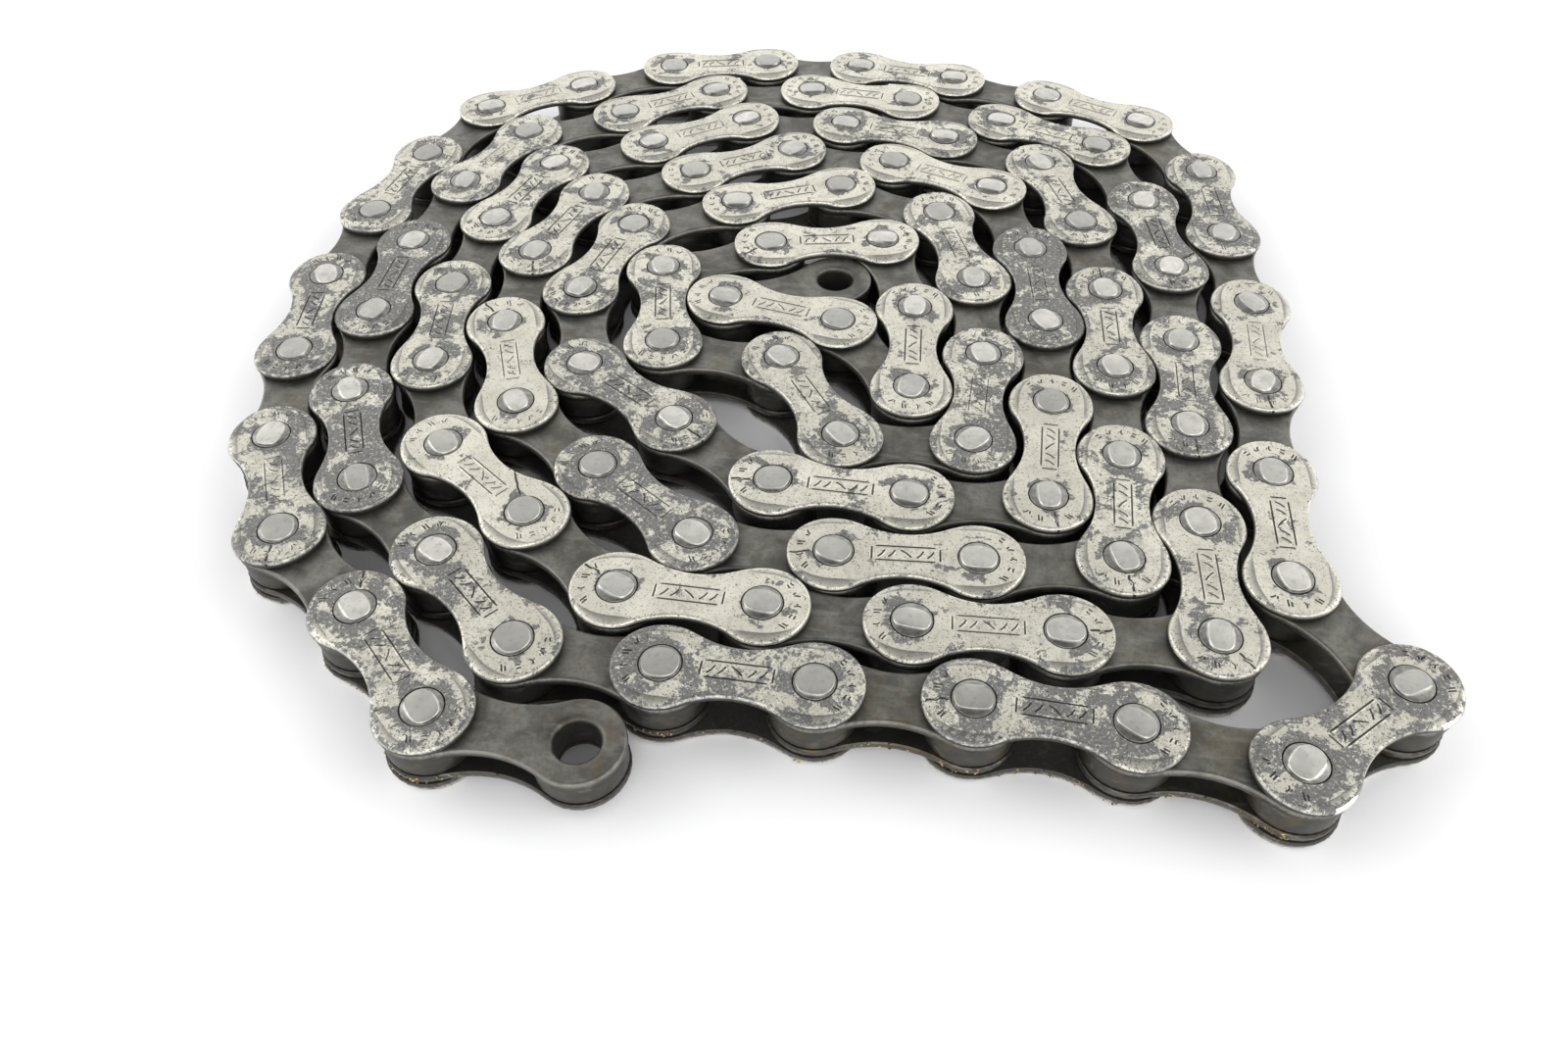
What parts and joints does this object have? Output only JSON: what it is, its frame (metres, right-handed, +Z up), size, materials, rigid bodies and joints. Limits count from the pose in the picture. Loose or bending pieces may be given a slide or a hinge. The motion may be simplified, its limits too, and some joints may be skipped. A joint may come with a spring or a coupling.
{
  "type": "bicycle roller chain",
  "caption": "Used bicycle roller chain coiled flat on its side: waisted outer plates with flaked plating, dark inner plates and rollers, peened pins, and an open inner link at each end.",
  "frame": {"origin": "under the middle of the coil, on the surface that it lies on", "axes": "+Z up along the pins, the coil's height; +X and +Y in the plane of the coil, with the straight front run along X at -Y"},
  "size_m": [0.1156, 0.1151, 0.0063],
  "materials": {
    "plated_steel": "worn nickel plating, pitted and flaked to grey steel, satin",
    "bare_steel": "dark bare steel with a film of old oil and a little brown rust, satin",
    "pin_steel": "bright pin heads, peened and lightly scratched"
  },
  "bodies": {
    "root": {"link_pair_01": "plated_steel", "link_pair_02": "plated_steel", "link_pair_03": "plated_steel", "link_pair_04": "plated_steel", "link_pair_05": "plated_steel", "link_pair_06": "plated_steel", "link_pair_07": "plated_steel", "link_pair_08": "plated_steel", "link_pair_09": "plated_steel", "link_pair_10": "plated_steel", "link_pair_11": "plated_steel", "link_pair_12": "plated_steel", "link_pair_13": "plated_steel", "link_pair_14": "plated_steel", "link_pair_15": "plated_steel", "link_pair_16": "plated_steel", "link_pair_17": "plated_steel", "link_pair_18": "plated_steel", "link_pair_19": "plated_steel", "link_pair_20": "plated_steel", "link_pair_21": "plated_steel", "link_pair_22": "plated_steel", "link_pair_23": "plated_steel", "link_pair_24": "plated_steel", "link_pair_25": "plated_steel", "link_pair_26": "plated_steel", "link_pair_27": "plated_steel", "link_pair_28": "plated_steel", "link_pair_29": "plated_steel", "link_pair_30": "plated_steel", "link_pair_31": "plated_steel", "link_pair_32": "plated_steel", "link_pair_33": "plated_steel", "link_pair_34": "plated_steel", "link_pair_35": "plated_steel", "link_pair_36": "plated_steel", "link_pair_37": "plated_steel", "link_pair_38": "plated_steel", "link_pair_39": "plated_steel", "link_pair_40": "plated_steel", "link_pair_41": "plated_steel", "link_pair_42": "plated_steel", "link_pair_43": "plated_steel", "link_pair_44": "plated_steel", "link_pair_45": "plated_steel", "link_pair_46": "plated_steel", "link_pair_47": "plated_steel", "link_pair_48": "plated_steel", "link_pair_49": "plated_steel", "link_pair_50": "plated_steel", "link_pair_51": "plated_steel", "link_pair_52": "plated_steel", "link_pair_53": "plated_steel", "end_link": "bare_steel"}
  },
  "joints": []
}
